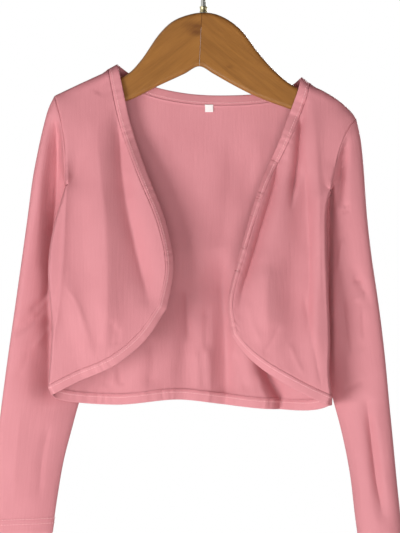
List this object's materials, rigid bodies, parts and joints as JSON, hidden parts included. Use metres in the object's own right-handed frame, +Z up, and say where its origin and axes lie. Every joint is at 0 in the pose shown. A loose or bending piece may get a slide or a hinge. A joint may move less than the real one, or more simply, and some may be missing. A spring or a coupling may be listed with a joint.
{
  "type": "open-front cropped jersey jacket on a wooden hanger",
  "caption": "Open-front cropped child's jersey jacket with long sleeves and bound edges, hanging on a wooden hanger with a steel hook.",
  "frame": {"origin": "inside top of the hanger's hook, where a rail carries it", "axes": "+Z up along the hook's shank, -Y out of the open front, +X to the right as seen from the front"},
  "size_m": [0.3887, 0.0656, 0.562],
  "materials": {
    "jersey": "fine cotton jersey with a slight sheen, dusty rose",
    "band": "the same jersey, folded double and cover-stitched",
    "label": "white woven tape, bare",
    "wood": "stained and satin-lacquered wood",
    "steel": "bright drawn steel wire",
    "collar": "dull plated brass"
  },
  "bodies": {
    "root": {"front_left": "jersey", "front_right": "jersey", "back": "jersey", "sleeve_left": "jersey", "sleeve_right": "jersey", "band_front_left": "band", "band_front_right": "band", "band_neck": "band", "band_hem": "band", "size_label": "label", "hanger_arm_left": "wood", "hanger_arm_right": "wood", "hook": "steel", "hook_collar": "collar"}
  },
  "joints": []
}
